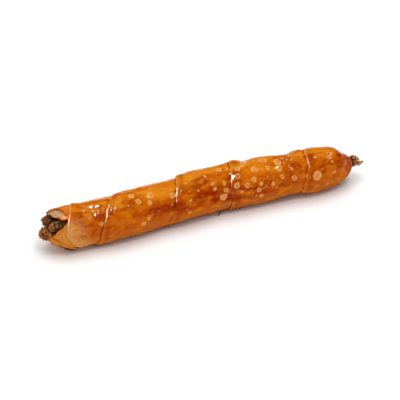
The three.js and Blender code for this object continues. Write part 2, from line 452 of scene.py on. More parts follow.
def surface_place(x, angle):
    """The point of the skin at a place along and an angle round, on whichever turn is outermost there."""
    part = ((angle - seam_start) % (2 * math.pi)) / (2 * math.pi)
    band = max(turn for turn in range(-3, 5) if seam_place(turn + part) <= x)
    radius = skin_radius(np.array([x], float), np.array([angle]), band)
    return place_round(np.array([x], float), np.array([angle]), radius)[0]


def strew_blisters():
    marks = [(x, math.radians(angle), width) for x, angle, width in large_blisters]
    for _ in range(small_blister_tries):
        x = strewing.uniform(strewn_from, strewn_to)
        angle = math.radians(strewing.uniform(strewn_front, strewn_back))
        width = 0.95 + 2.2 * strewing.random() ** 3
        crowd = 0.08 + 0.9 * bell(x, 55, 32) + 0.6 * bell(x, 124, 12)
        crowd *= 0.25 + 0.75 * bell(turn_apart(angle, 2.6), 0, 0.75)
        clear = all(math.hypot(x - place, roll_radius * turn_apart(angle, at_angle))
                    > (width + other) * blister_spacing for place, at_angle, other in marks)
        if strewing.random() < crowd and clear:
            marks.append((x, angle, width))
    return marks


blister_list = strew_blisters()
marks_mesh = bpy.data.meshes.new("blister_marks")
marks_mesh.from_pydata([tuple(surface_place(x, angle) * MM) for x, angle, _ in blister_list], [], [])
write_numbers(marks_mesh, "half_width", [width * MM / 2 for _, _, width in blister_list])
write_numbers(marks_mesh, "paleness", [strewing.uniform(0.45, 1.0) for _ in blister_list])
blister_marks = new_piece("blister_marks", marks_mesh)


def fill(tree, node, inputs):
    """Sets a node's inputs: outputs of other nodes are linked, plain values are set."""
    for name, value in inputs.items():
        if isinstance(value, bpy.types.NodeSocket):
            tree.links.new(value, node.inputs[name])
        else:
            node.inputs[name].default_value = value


def add(tree, kind, inputs=None, **settings):
    node = tree.nodes.new(kind)
    for name, value in settings.items():
        setattr(node, name, value)
    fill(tree, node, inputs or {})
    return node


def maths(tree, operation, first, second=0.0, third=0.0):
    return add(tree, "ShaderNodeMath", {0: first, 1: second, 2: third}, operation=operation).outputs[0]


def times(tree, first, second):
    return maths(tree, "MULTIPLY", first, second)


def vectors(tree, operation, first, second):
    """Vector arithmetic. SCALE takes a number second, DISTANCE and DOT_PRODUCT give one."""
    into = "Scale" if operation == "SCALE" else 1
    node = add(tree, "ShaderNodeVectorMath", {0: first, into: second}, operation=operation)
    return node.outputs["Value" if operation in ("DISTANCE", "DOT_PRODUCT") else 0]


def span(tree, value, low, high, to_low=0.0, to_high=1.0):
    """Carries a range over to another one, with a soft start and end."""
    return add(tree, "ShaderNodeMapRange", {"Value": value, "From Min": low, "From Max": high,
               "To Min": to_low, "To Max": to_high}, interpolation_type="SMOOTHSTEP").outputs[0]


def speckle(tree, place, scale, detail=3.0, roughness=0.55):
    return add(tree, "ShaderNodeTexNoise", {"Vector": place, "Scale": scale, "Detail": detail,
               "Roughness": roughness}).outputs[0]


def new_shape_tree(name, sizes, others=None):
    """A geometry tree with a shape and a skin, named sizes, and other inputs: {name: socket kind}."""
    tree = bpy.data.node_groups.new(name, "GeometryNodeTree")
    tree.interface.new_socket("Geometry", in_out="INPUT", socket_type="NodeSocketGeometry")
    tree.interface.new_socket("Geometry", in_out="OUTPUT", socket_type="NodeSocketGeometry")
    kinds = {**{size: "NodeSocketFloat" for size in sizes}, **(others or {}), "Skin": "NodeSocketMaterial"}
    for input_name, kind in kinds.items():
        tree.interface.new_socket(input_name, in_out="INPUT", socket_type=kind)
    return tree, add(tree, "NodeGroupInput").outputs, add(tree, "GeometryNodeInputPosition").outputs[0]


def stored(tree, name):
    return add(tree, "GeometryNodeInputNamedAttribute", {"Name": name}, data_type="FLOAT").outputs[0]


def store(tree, shape, name, value):
    return add(tree, "GeometryNodeStoreNamedAttribute", {"Geometry": shape, "Name": name, "Value": value},
               data_type="FLOAT", domain="POINT").outputs[0]


def shift(tree, shape, offset):
    return add(tree, "GeometryNodeSetPosition", {"Geometry": shape, "Offset": offset}).outputs[0]


def push_out(tree, shape, rise):
    """Moves every point along its normal."""
    normal = add(tree, "GeometryNodeInputNormal").outputs[0]
    return shift(tree, shape, vectors(tree, "SCALE", normal, rise))


def wobble(tree, place, scale, size):
    """A random way and distance for each place, so that round things come out uneven."""
    noise = add(tree, "ShaderNodeTexNoise", {"Vector": place, "Scale": scale, "Detail": 2.0}).outputs["Color"]
    return vectors(tree, "SCALE", vectors(tree, "SUBTRACT", noise, (0.5, 0.5, 0.5)), size)


def close_tree(tree, shape, skin):
    real = add(tree, "GeometryNodeRealizeInstances", {"Geometry": shape}).outputs[0]
    skinned = add(tree, "GeometryNodeSetMaterial", {"Geometry": real, "Material": skin}).outputs[0]
    add(tree, "NodeGroupOutput", {"Geometry": skinned})
    return tree


def grow(piece, tree, **sizes):
    """Runs a geometry tree on a piece, sets its inputs by identifier, and keeps the result as the mesh."""
    modifier = piece.modifiers.new(tree.name, "NODES")
    modifier.node_group = tree
    for item in tree.interface.items_tree:
        name = item.name.lower().replace(" ", "_")
        if item.in_out == "INPUT" and name in sizes:
            modifier[item.identifier] = sizes[name]
    bpy.context.view_layer.update()
    graph = bpy.context.evaluated_depsgraph_get()
    result = bpy.data.meshes.new_from_object(piece.evaluated_get(graph), preserve_all_data_layers=True,
                                             depsgraph=graph)
    piece.modifiers.clear()
    piece.data = result
    return piece


def blister_tree():
    """Lifts a dome with a raised edge round every mark, and records both for the glaze."""
    tree, given, place = new_shape_tree("raise_blisters", ("Dome height", "Edge height", "Waver"),
                                        {"Marks": "NodeSocketObject"})
    probe = vectors(tree, "ADD", place, wobble(tree, place, 300.0, given["Waver"]))
    marks = add(tree, "GeometryNodeObjectInfo", {"Object": given["Marks"]}).outputs["Geometry"]
    nearest = add(tree, "GeometryNodeSampleNearest", {"Geometry": marks, "Sample Position": probe}).outputs[0]

    def at_mark(value, kind="FLOAT"):
        return add(tree, "GeometryNodeSampleIndex", {"Geometry": marks, "Value": value, "Index": nearest},
                   data_type=kind).outputs[0]

    away = vectors(tree, "DISTANCE", probe, at_mark(place, "FLOAT_VECTOR"))
    reach = maths(tree, "DIVIDE", away, at_mark(stored(tree, "half_width")))
    dome = span(tree, reach, blister_foot, blister_crest)
    off_edge = maths(tree, "ABSOLUTE", maths(tree, "SUBTRACT", reach, blister_crest))
    edge = span(tree, off_edge, 0.24, 0.04)
    rise = times(tree, dome, given["Dome height"])
    rise = maths(tree, "MULTIPLY_ADD", edge, given["Edge height"], rise)
    moved = push_out(tree, given["Geometry"], rise)
    marked = store(tree, moved, "blister", times(tree, dome, at_mark(stored(tree, "paleness"))))
    return close_tree(tree, store(tree, marked, "blister_edge", edge), given["Skin"])


def ripple_tree():
    """Raises baked dough into soft ripples and a finer grain, and records how far each point stands out."""
    tree, given, place = new_shape_tree("ripple_dough", (
        "Ripple height", "Ripple size", "Grain height", "Grain size", "Bubble height", "Bubble size"))
    ripple_scale, grain_scale, bubble_scale = (
        maths(tree, "DIVIDE", 1.0, given[size]) for size in ("Ripple size", "Grain size", "Bubble size"))
    cells = add(tree, "ShaderNodeTexVoronoi", {"Vector": place, "Scale": bubble_scale, "Randomness": 1.0,
                "Smoothness": 0.35}, feature="SMOOTH_F1")
    bubble = span(tree, cells.outputs["Distance"], 0.55, 0.1)
    where = span(tree, speckle(tree, place, 90.0, 2.0, 0.5), 0.47, 0.6)
    long_way = vectors(tree, "MULTIPLY", place, (0.6, 1.0, 1.0))
    ripple = speckle(tree, long_way, ripple_scale, 2.0, 0.5)
    grain = speckle(tree, place, grain_scale, 2.0, 0.5)
    rise = times(tree, maths(tree, "SUBTRACT", ripple, 0.5), given["Ripple height"])
    rise = maths(tree, "MULTIPLY_ADD", maths(tree, "SUBTRACT", grain, 0.5), given["Grain height"], rise)
    rise = maths(tree, "MULTIPLY_ADD", times(tree, bubble, where), given["Bubble height"], rise)
    moved = push_out(tree, given["Geometry"], rise)
    return close_tree(tree, store(tree, moved, "ripple", ripple), given["Skin"])


def roughen(piece, skin, ripple, grain, bubble):
    """Ripples a piece of dough, each kind of bump given as (height, size)."""
    grow(piece, ripple_tree(), ripple_height=ripple[0] * MM, ripple_size=ripple[1] * MM,
         grain_height=grain[0] * MM, grain_size=grain[1] * MM, bubble_height=bubble[0] * MM,
         bubble_size=bubble[1] * MM, skin=skin)


# The glaze: egg and sugar browned to amber. It is honey-coloured along the top, partly as painted light,
# redder in patches, with painted shade beside the laps and under the folds and a painted highlight on the
# lips, thin, dull and paler on the flanks, partly as painted light, pale at the mouth and scorched below.
def number_from(tree, name):
    return add(tree, "ShaderNodeAttribute", attribute_name=name).outputs["Fac"]


def blend(tree, amount, first, second):
    node = add(tree, "ShaderNodeMix", data_type="RGBA")
    colours = {6: first, 7: second}
    full = {index: (*value, 1) if isinstance(value, tuple) else value for index, value in colours.items()}
    fill(tree, node, {0: amount, **full})
    return node.outputs[2]


def lay(tree, colour, over, name, strength, low=0.0, high=1.0):
    """Lays one colour over another where a stored number is high."""
    return blend(tree, times(tree, span(tree, number_from(tree, name), low, high), strength), colour, over)


def lay_broken(tree, colour, over, name, pattern, off_pattern, on_pattern):
    """Lays one colour over another where a stored number is high, broken up by a pattern."""
    amount = times(tree, number_from(tree, name), span(tree, pattern, 0, 1, off_pattern, on_pattern))
    return blend(tree, amount, colour, over)


def bumps(tree, height, strength, depth, **under):
    """Fine roughness of the surface, its depth in millimetres, over another roughness if one is given."""
    return add(tree, "ShaderNodeBump", {"Height": height, "Strength": strength, "Distance": depth * MM,
               **under}).outputs[0]


def new_material(name):
    material = bpy.data.materials.new(name)
    material.use_nodes = True
    tree = material.node_tree
    place = add(tree, "ShaderNodeTexCoord").outputs["Object"]
    return material, tree, place, tree.nodes["Principled BSDF"]


def glaze_material():
    amber, deep_red, honey = (0.54, 0.080, 0.001), (0.29, 0.017, 0.0004), (0.72, 0.205, 0.004)
    dull, blister_skin, blister_rim = (0.50, 0.135, 0.022), (0.78, 0.37, 0.09), (0.84, 0.50, 0.19)
    pale_dough, scorched, lip_highlight_colour = (0.70, 0.35, 0.10), (0.06, 0.014, 0.005), (0.84, 0.36, 0.08)
    rim_pale, char, gilt = (0.74, 0.45, 0.24), (0.03, 0.006, 0.003), (0.78, 0.29, 0.015)
    material, tree, place, surface = new_material("amber_glaze")
    long_way = vectors(tree, "MULTIPLY", place, (0.5, 1.0, 1.0))
    cloudy = span(tree, speckle(tree, place, 60.0, 4.0), 0.42, 0.58)
    patchy = span(tree, speckle(tree, long_way, 190.0, 5.0, 0.68), 0.38, 0.62)
    mottle = span(tree, speckle(tree, long_way, 520.0, 4.0, 0.7), 0.40, 0.62)
    colour = blend(tree, times(tree, cloudy, 0.45), amber, deep_red)
    colour = blend(tree, times(tree, patchy, 0.5), colour, honey)
    # the honey along the top and the duller, paler flanks are partly painted light
    for over, name, pattern, off_pattern, on_pattern in (
        (honey, "shoulder_glaze_and_light", cloudy, 0.8, 0.3), (dull, "flank_glaze_and_light", patchy, 0.9, 0.55),
        (gilt, "golden", patchy, 0.5, 0.95), (deep_red, "redder", patchy, 0.9, 0.5),
        (pale_dough, "mouth_pale", mottle, 1.0, 0.6),
    ):
        colour = lay_broken(tree, colour, over, name, pattern, off_pattern, on_pattern)
    # painted shade: the crease under each lip, and a softer band behind it
    colour = lay(tree, colour, deep_red, "lip_shade", 0.8)
    # painted shade: a dark band beneath each fold
    colour = lay(tree, colour, deep_red, "fold_shade", 0.55, 0.0, 0.6)
    colour = blend(tree, times(tree, mottle, 0.14), colour, deep_red)
    colour = lay(tree, colour, honey, "ripple", 0.5, 0.50, 0.64)
    # painted highlight: a pale line along the upper part of each lip
    colour = lay_broken(tree, colour, lip_highlight_colour, "lip_light", patchy, 0.2, 0.8)
    colour = lay_broken(tree, colour, rim_pale, "mouth_rim", mottle, 0.1, 0.5)
    colour = lay_broken(tree, colour, blister_skin, "blister", patchy, 0.95, 0.6)
    colour = lay(tree, colour, blister_rim, "blister_edge", 0.6)
    singed = span(tree, speckle(tree, place, 260.0, 5.0, 0.7), 0.38, 0.6, 0.35, 1.0)
    colour = blend(tree, times(tree, number_from(tree, "underside"), singed), colour, scorched)
    colour = lay(tree, colour, char, "speck", 0.95)
    coat = times(tree, number_from(tree, "glazed"), span(tree, mottle, 0, 1, 1.0, 0.6))
    dimples = bumps(tree, speckle(tree, place, 300.0, 0.0), 0.5, 0.3)
    fill(tree, surface, {
        "Base Color": colour,
        "Roughness": span(tree, number_from(tree, "flank_glaze_and_light"), 0, 1, 0.36, 0.55),
        "Coat Weight": maths(tree, "MULTIPLY_ADD", coat, 0.9, 0.04),
        "Normal": bumps(tree, speckle(tree, place, 1100.0, 3.0), 0.3, 0.4, Normal=dimples),
        "Coat Normal": dimples,
        "Subsurface Weight": 0.1,
        "Subsurface Radius": (1.0, 0.3, 0.08),
        "Subsurface Scale": 2.5 * MM,
        "Specular IOR Level": 0.0,
        "Coat Roughness": 0.05,
    })
    return material


glaze = glaze_material()
roughen(wrap, glaze, ripple=(1.3, 5.5), grain=(0.1, 1.6), bubble=(0.32, 3.4))
grow(wrap, blister_tree(), marks=blister_marks, dome_height=0.2 * MM, edge_height=0.16 * MM, waver=2.4 * MM,
     skin=glaze)
bpy.data.objects.remove(blister_marks)
rest_on_table(wrap)
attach(wrap, "root")
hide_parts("wrap")

# ------------------------------------------------------------
# Mouth layer. The strip's first turn, under the outer one, stands out past it round the filling. It
# is thin, hardly glazed and pale inside, browned along its rim, and notched where the front tore back.
layer_angles = (0, 30, 60, 80, 95, 110, 125, 139, 152, 164, 174, 184, 194, 204, 212, 222, 245, 280, 320, 360)
layer_places = (-144, -145, -146, -149, -147.5, -144, -138, -132.5, -132, -132,
                -132.5, -133.5, -135.5, -138.5, -141, -142.5, -143, -142, -143, -144)
layer_rims = (12.4, 12.2, 12.2, 12.6, 13.6, 15, 16.6, 17.8, 18, 18.4,
              18.8, 19, 19, 18.4, 17.6, 16.8, 15.6, 14.8, 13.2, 12.4)
layer_radius = 18.7
layer_thickness = 1.7
layer_deep = 22.0
layer_columns = 220


def layer_cross_section():
    """(share of the way out to the rim, share of the thickness) round the strip's cut section."""
    outside = [(place, 0.0) for place in np.linspace(0, 0.975, 34)]
    rim = [(0.992, 0.08), (1.0, 0.3), (1.003, 0.5), (1.0, 0.7), (0.992, 0.92)]
    return outside + rim + [(place, 1.0) for place in np.linspace(0.975, 0, 26)]


def ring_faces(rows, columns, closed=False):
    """Faces of rows of points that run round and join; closed rows meet again at the end."""
    row, column = np.meshgrid(np.arange(rows if closed else rows - 1), np.arange(columns), indexing="ij")
    below, beside = (row + 1) % rows, (column + 1) % columns
    return np.stack((row * columns + column, row * columns + beside, below * columns + beside,
                     below * columns + column), -1).reshape(-1, 4).tolist()


def make_layer():
    angle = np.linspace(0, 2 * math.pi, layer_columns, endpoint=False)[None, :]
    degrees = np.degrees(angle)
    ragged = 0.35 * np.sin(23 * angle + 1) + 0.3 * np.sin(41 * angle) + 0.25 * np.sin(67 * angle + 2)
    edge = smooth_through(layer_angles, layer_places, degrees) + ragged
    rim = smooth_through(layer_angles, layer_rims, degrees)
    section = np.array(layer_cross_section())
    out, deep = section[:, :1], section[:, 1:]
    x = edge + layer_deep * (1 - out)
    belly = layer_radius + (rim - layer_radius) * ease(out, 0.35, 1.0)
    plies = np.sin(13 * angle + x / 3) * bell(turn_apart(angle, 4.0), 0, 0.7)
    wall = layer_thickness + 0.7 * plies * ease(out, 0.3, 0.6)
    radius = belly - deep * wall + 0.3 * np.sin(x / 2.2 + 9 * angle)
    points = place_round(x, angle + 0 * x, radius).reshape(-1, 3)
    mesh = bpy.data.meshes.new("mouth_layer")
    mesh.from_pydata((points * MM).tolist(), [], ring_faces(*x.shape, closed=True))
    write_numbers(mesh, "inside", ease(deep, 0.45, 0.95) + 0 * x)
    write_numbers(mesh, "rim", bell(out, 1.0, 0.05) * (1 - 0.5 * deep) + 0 * x)
    write_numbers(mesh, "browned", ease(turn_apart(angle, 3.7), 1.6, 0.9) + 0 * x)
    return mesh


def dough_material():
    bare, cream, grey = (0.68, 0.28, 0.045), (0.70, 0.40, 0.16), (0.46, 0.25, 0.10)
    baked, rim_brown, dark = (0.68, 0.165, 0.008), (0.62, 0.13, 0.005), (0.16, 0.04, 0.008)
    milky = (0.72, 0.50, 0.34)
    material, tree, place, surface = new_material("bare_dough")
    patchy = span(tree, speckle(tree, place, 260.0, 4.0, 0.6), 0.38, 0.64)
    crumb = span(tree, speckle(tree, place, 700.0, 4.0, 0.7), 0.38, 0.62)
    outside = blend(tree, times(tree, patchy, 0.6), bare, baked)
    outside = blend(tree, times(tree, number_from(tree, "browned"), 0.85), outside, baked)
    within = lay(tree, blend(tree, crumb, cream, grey), milky, "ripple", 0.8, 0.5, 0.68)
    colour = blend(tree, number_from(tree, "inside"), outside, within)
    colour = lay_broken(tree, colour, rim_brown, "rim", patchy, 0.5, 1.0)
    fill(tree, surface, {
        "Base Color": blend(tree, times(tree, crumb, 0.12), colour, dark),
        "Roughness": span(tree, crumb, 0, 1, 0.45, 0.7),
        "Normal": bumps(tree, crumb, 0.4, 0.3),
        "Specular IOR Level": 0.01,
        "Subsurface Weight": 0.15,
        "Subsurface Radius": (1.0, 0.5, 0.2),
        "Subsurface Scale": 2.0 * MM,
    })
    return material


bare_dough = dough_material()
layer = new_piece("mouth_layer", face_outwards(make_layer()))
roughen(layer, bare_dough, ripple=(0.9, 4.0), grain=(0.3, 1.3), bubble=(0.15, 3.0))
rest_on_table(layer)
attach(layer, "root")
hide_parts("wrap")

# ------------------------------------------------------------
# Mouth flap and curl. Torn tails of the strip's first turn: a long pointed flap that curls out under
# the mouth, baked crisp, a burnt one beneath it, and a short curl beside the notch. Each edge of a
# tail is given by marks: (place along, angle, radius).
flap_outer = ((-150, 88, 12.0), (-147.5, 76, 12.9), (-143, 62, 14.6), (-136, 50, 17.0), (-129, 43, 19.4),
              (-124, 40, 21.0))
flap_inner = ((-148.5, 98, 12.6), (-146, 90, 14.0), (-141.5, 78, 16.0), (-135, 64, 17.8), (-129, 53, 19.2),
              (-124.5, 44, 20.6))
curl_outer = ((-138.5, 155, 15.6), (-136.5, 150, 16.4), (-134, 147, 17.2), (-130, 146, 17.8))
curl_inner = ((-137.5, 163, 16.4), (-136, 164, 17.2), (-134, 163, 17.8), (-130, 158, 18.4))
sole_outer = ((-145.5, 77, 13.4), (-142.5, 67, 15.2), (-137, 50, 18.6), (-131, 43, 20.5), (-127.5, 40, 21.3))
sole_inner = ((-145, 80, 12.0), (-142, 72, 13.4), (-136, 58, 16.2), (-130, 50, 18.4), (-127, 46, 19.6))
tail_steps, tail_ring = 60, 20
flap_thickness, curl_thickness, sole_thickness = 1.5, 1.6, 1.2


def smooth_line(marks, shares):
    """A smooth run through (place, angle, radius) marks, evenly shared from first to last."""
    marks = np.array(marks, float)
    at = np.linspace(0, 1, len(marks))
    return np.stack([smooth_through(at, marks[:, part], shares) for part in range(3)], -1)


def make_tail(outer, inner, thickness, droop, sear):
    """A closed ribbon between an outer and an inner edge. Its outer edge droops, and sear is how far it
    burnt all round: at 0 only its underside did."""
    shares = np.linspace(0, 1, tail_steps)
    free, joined = smooth_line(outer, shares)[:, None, :], smooth_line(inner, shares)[:, None, :]
    turn = np.linspace(0, 2 * math.pi, tail_ring, endpoint=False)[None, :, None]
    across = np.sign(np.cos(turn)) * np.abs(np.cos(turn)) ** 0.6
    through = np.sign(np.sin(turn)) * np.abs(np.sin(turn)) ** 0.7
    slim = np.sin(np.pi * np.clip(shares * 0.94 + 0.03, 0, 1)) ** 0.4
    wave = 0.5 * np.sin(17 * shares) + 0.3 * np.sin(31 * shares + 1)
    spot = (free + joined) / 2 + across * slim[:, None, None] * (free - joined) / 2
    spot[..., 2] += through[..., 0] * slim[:, None] * thickness / 2
    spot[..., 2] += droop * ease(across[..., 0], -0.2, 1.0) * slim[:, None]
    spot[..., 0] += ease(across[..., 0], 0, 1.0) * wave[:, None]
    points = place_round(spot[..., 0], np.radians(spot[..., 1]), spot[..., 2]).reshape(-1, 3)
    last = (tail_steps - 1) * tail_ring
    ends = [list(range(tail_ring)), list(range(last, last + tail_ring))]
    faces = ring_faces(tail_steps, tail_ring) + ends
    burnt = np.maximum(ease(-through[..., 0], 0.0, 0.6), sear) + 0 * shares[:, None]
    return points, faces, burnt, ease(across[..., 0], -0.6, 0.3) + 0 * shares[:, None]


def join_tails(name, tails):
    points, faces, burnt, crisp = [], [], [], []
    for tail_points, tail_faces, tail_burnt, tail_crisp in tails:
        faces += [[len(points) + corner for corner in face] for face in tail_faces]
        points += (tail_points * MM).tolist()
        burnt += tail_burnt.ravel().tolist()
        crisp += tail_crisp.ravel().tolist()
    mesh = bpy.data.meshes.new(name)
    mesh.from_pydata(points, [], faces)
    write_numbers(mesh, "burnt", burnt)
    write_numbers(mesh, "crisp", crisp)
    return new_piece(name, face_outwards(mesh))


def crisp_material():
    pale, crisp = (0.66, 0.22, 0.025), (0.74, 0.19, 0.003)
    burnt, soot = (0.15, 0.025, 0.004), (0.03, 0.008, 0.004)
    material, tree, place, surface = new_material("crisp_dough")
    patchy = span(tree, speckle(tree, place, 300.0, 4.0, 0.65), 0.38, 0.62)
    colour = blend(tree, times(tree, patchy, 0.7), pale, crisp)
    colour = lay(tree, colour, crisp, "crisp", 0.9)
    under = blend(tree, patchy, burnt, soot)
    fill(tree, surface, {
        "Base Color": blend(tree, times(tree, number_from(tree, "burnt"), 0.95), colour, under),
        "Roughness": span(tree, patchy, 0, 1, 0.35, 0.6),
        "Normal": bumps(tree, patchy, 0.4, 0.3),
        "Specular IOR Level": 0.06,
        "Coat Weight": 0.15,
        "Coat Roughness": 0.1,
    })
    return material


flap = join_tails("mouth_flap", (
    make_tail(flap_outer, flap_inner, flap_thickness, 0.2, 0.0),
    make_tail(curl_outer, curl_inner, curl_thickness, 0.3, 0.0),
    make_tail(sole_outer, sole_inner, sole_thickness, 0.3, 1.0),
))
roughen(flap, crisp_material(), ripple=(0.5, 3.0), grain=(0.2, 1.0), bubble=(0.15, 2.4))
rest_on_table(flap)
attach(flap, "root")
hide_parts("wrap")

# ------------------------------------------------------------
# Mouth ply. A tongue of bare dough inside the mouth, torn off the first turn, that lies along the top
# of the filling. It never met the glaze or the heat, so it stays cream and matt.
ply_outer = ((-143, 190, 12.6), (-139.5, 172, 13.4), (-136, 161, 14.6), (-130, 155, 16.0))
ply_inner = ((-143.5, 226, 14.4), (-140, 226, 15.6), (-136, 226, 16.6), (-130, 226, 17.2))
ply_thickness = 2.2

ply = join_tails("mouth_ply", (make_tail(ply_outer, ply_inner, ply_thickness, 0.0, 0.0),))
write_numbers(ply.data, "inside", np.ones(len(ply.data.vertices)))
roughen(ply, bare_dough, ripple=(1.6, 2.6), grain=(0.4, 1.1), bubble=(0.3, 2.4))
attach(ply, "root")
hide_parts("wrap")

# ------------------------------------------------------------
# Filling. A stick of minced meat pressed in one piece, roasted dark where it stands out of the dough.
# At the mouth it has split into lobes of coarse grains; at the neck it ends in one torn chunk.
stick_rise, stick_zone = 2.4, 70.0
rough_voxel, fine_voxel = 0.5, 0.42
grain_size, grain_spread, grain_seed = 1.5, 60000.0, 5
# depth below and height above its surroundings over which the painted crevice shade fades
crevice_depth, grain_top = 0.3, 0.4
# pressing a lobe, as shares of its radius or of its grain
lobe_step, core_inset, lumps_per_step = 0.35, 0.45, 2.2
smallest_lump, lump_sunk, lump_clear = 0.45, 0.75, 0.9
fill_low, fill_high = (np.array(corner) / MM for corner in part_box("filling"))
pressing = random.Random(23)


def stick_centre(x):
    """The filling's middle line: it rises in the mouth, because the dough is thicker beneath it."""
    y, z = roll_centre(np.float64(x))
    lift = stick_rise * (1 - ease(x, wrap_low[0], wrap_low[0] + stick_zone))
    return np.array((x, y + lift / 2, z + lift))


# lobes of the mouth end, then the neck's chunk and its spur: (start, end, angle, offset, radius, grain)
lobes = (
    (-150.2, -112, 40, 4.6, 6.2, 2.0), (-146.8, -143.5, 205, 6.8, 4.7, 2.0), (-142, -112, 205, 4.6, 4.4, 1.8),
    (-143, -112, 122, 6.5, 5.2, 2.0), (-144, -112, 320, 5.0, 5.0, 2.0),
    (130, 147.6, 190, 0.6, 4.9, 1.6), (145, 153.4, 58, 3.5, 1.9, 0.9),
)


def press_lobe(shape, lobe):
    start, end, angle, offset, radius, grain = lobe
    steps = int((end - start) / (radius * lobe_step))
    turned = math.radians(angle)
    for step in range(steps + 1):
        x = start + (end - start) * step / steps
        middle = stick_centre(x) + offset * np.array((0, -math.sin(turned), -math.cos(turned)))
        core = Matrix.Translation(Vector(middle * MM))
        bmesh.ops.create_icosphere(shape, subdivisions=2, radius=(radius - grain * core_inset) * MM,
                                   matrix=core)
        for _ in range(int(lumps_per_step * radius / grain)):
            size = grain * pressing.uniform(smallest_lump, 1.0)
            way = Vector((pressing.gauss(-0.35 if step == 0 else 0, 0.8), pressing.gauss(0, 1),
                          pressing.gauss(0, 1))).normalized()
            spot = Vector(middle) + way * (radius - size * lump_sunk)
            spot.x = max(spot.x, fill_low[0] + size * lump_clear)
            spot.x = min(spot.x, fill_high[0] - size * lump_clear)
            bmesh.ops.create_icosphere(shape, subdivisions=2, radius=size * MM,
                                       matrix=Matrix.Translation(spot * MM))


def make_stick():
    shape = bmesh.new()
    for lobe in lobes:
        press_lobe(shape, lobe)
    mesh = bpy.data.meshes.new("filling_ends")
    shape.to_mesh(mesh)
    shape.free()
    return mesh


def fuse(piece, voxel):
    """Fuses overlapping lumps into one skin."""
    remesh = piece.modifiers.new("fuse", "REMESH")
    remesh.mode = "VOXEL"
    remesh.voxel_size = voxel
    bpy.context.view_layer.update()
    graph = bpy.context.evaluated_depsgraph_get()
    piece.data = bpy.data.meshes.new_from_object(piece.evaluated_get(graph), depsgraph=graph)
    piece.modifiers.clear()


def sow(tree, given, density, smallest, largest, low_tilt, high_tilt):
    """Lumps sown over the shape, each of its own size and tilt."""
    points = add(tree, "GeometryNodeDistributePointsOnFaces", {
        "Mesh": given["Geometry"], "Density": density, "Seed": given["Seed"]},
        distribute_method="RANDOM").outputs["Points"]
    lump = add(tree, "GeometryNodeMeshIcoSphere", {
        "Radius": given["Lump size"], "Subdivisions": 2}).outputs[0]
    size, tilt = (
        add(tree, "FunctionNodeRandomValue", {0: low, 1: high, "Seed": given["Seed"]},
            data_type="FLOAT_VECTOR").outputs[0]
        for low, high in ((smallest, largest), (low_tilt, high_tilt)))
    return add(tree, "GeometryNodeInstanceOnPoints", {"Points": points, "Instance": lump, "Rotation": tilt,
               "Scale": size}).outputs[0]


def mince_tree():
    """Sows coarse grains over the stick, each a small tilted lump sunk into its surface."""
    tree, given, _ = new_shape_tree("sow_mince", ("Spread", "Lump size"), {"Seed": "NodeSocketInt"})
    grains = sow(tree, given, given["Spread"], (0.35, 0.3, 0.3), (1.15, 0.9, 0.9),
                 (0, 0, 0), (6.28, 6.28, 6.28))
    joined = add(tree, "GeometryNodeJoinGeometry")
    tree.links.new(given["Geometry"], joined.inputs[0])
    tree.links.new(grains, joined.inputs[0])
    return close_tree(tree, joined.outputs[0], given["Skin"])


def crevice_tree():
    """Roughens the fused meat and stores, for every point, how far it stands above its surroundings;
    the meat's colour reads it for painted shade in the crevices.
    """
    tree, given, place = new_shape_tree("roast_mince", ("Grit height", "Grit size"),
                                        {"Reach": "NodeSocketInt"})
    grit = speckle(tree, place, maths(tree, "DIVIDE", 1.0, given["Grit size"]), 3.0, 0.5)
    rise = times(tree, maths(tree, "SUBTRACT", grit, 0.5), given["Grit height"])
    moved = push_out(tree, given["Geometry"], rise)
    even = add(tree, "GeometryNodeBlurAttribute", {"Iterations": given["Reach"]}, data_type="FLOAT_VECTOR")
    tree.links.new(place, next(socket for socket in even.inputs if socket.name == "Value" and socket.enabled))
    smooth_place = next(socket for socket in even.outputs if socket.enabled)
    normal = add(tree, "GeometryNodeInputNormal").outputs[0]
    stand = vectors(tree, "DOT_PRODUCT", vectors(tree, "SUBTRACT", place, smooth_place), normal)
    proud = add(tree, "ShaderNodeMapRange", {
        "Value": stand, "From Min": -crevice_depth * MM, "From Max": grain_top * MM}).outputs[0]
    return close_tree(tree, store(tree, moved, "proud", proud), given["Skin"])


def meat_material():
    painted_crevice_shade, brown, russet = (0.028, 0.008, 0.003), (0.25, 0.066, 0.013), (0.38, 0.105, 0.018)
    tan, fat, scorched = (0.50, 0.25, 0.08), (0.68, 0.42, 0.17), (0.026, 0.008, 0.005)
    material, tree, place, surface = new_material("roast_mince")
    grains = add(tree, "ShaderNodeTexVoronoi", {"Vector": place, "Scale": 620.0, "Randomness": 1.0})
    grain_tone = add(tree, "ShaderNodeSeparateColor", {0: grains.outputs["Color"]}).outputs[0]
    patchy = span(tree, speckle(tree, place, 170.0, 3.0), 0.40, 0.60)
    colour = blend(tree, span(tree, grain_tone, 0.2, 0.7), brown, russet)
    colour = blend(tree, times(tree, span(tree, grain_tone, 0.62, 0.8), 0.75), colour, tan)
    colour = blend(tree, times(tree, span(tree, grain_tone, 0.9, 0.95), 0.8), colour, fat)
    colour = lay(tree, colour, tan, "tip_tan", 0.75)
    colour = lay_broken(tree, colour, scorched, "charred", patchy, 1.0, 0.75)
    fill(tree, surface, {
        # painted shade: the meat darkens to near black in its crevices, below its surroundings
        "Base Color": blend(tree, span(tree, number_from(tree, "proud"), 0.50, 0.22), colour, painted_crevice_shade),
        "Roughness": span(tree, patchy, 0, 1, 0.38, 0.7),
        "Normal": bumps(tree, speckle(tree, place, 1500.0, 3.0), 0.5, 0.3),
        "Specular IOR Level": 0.02,
    })
    return material


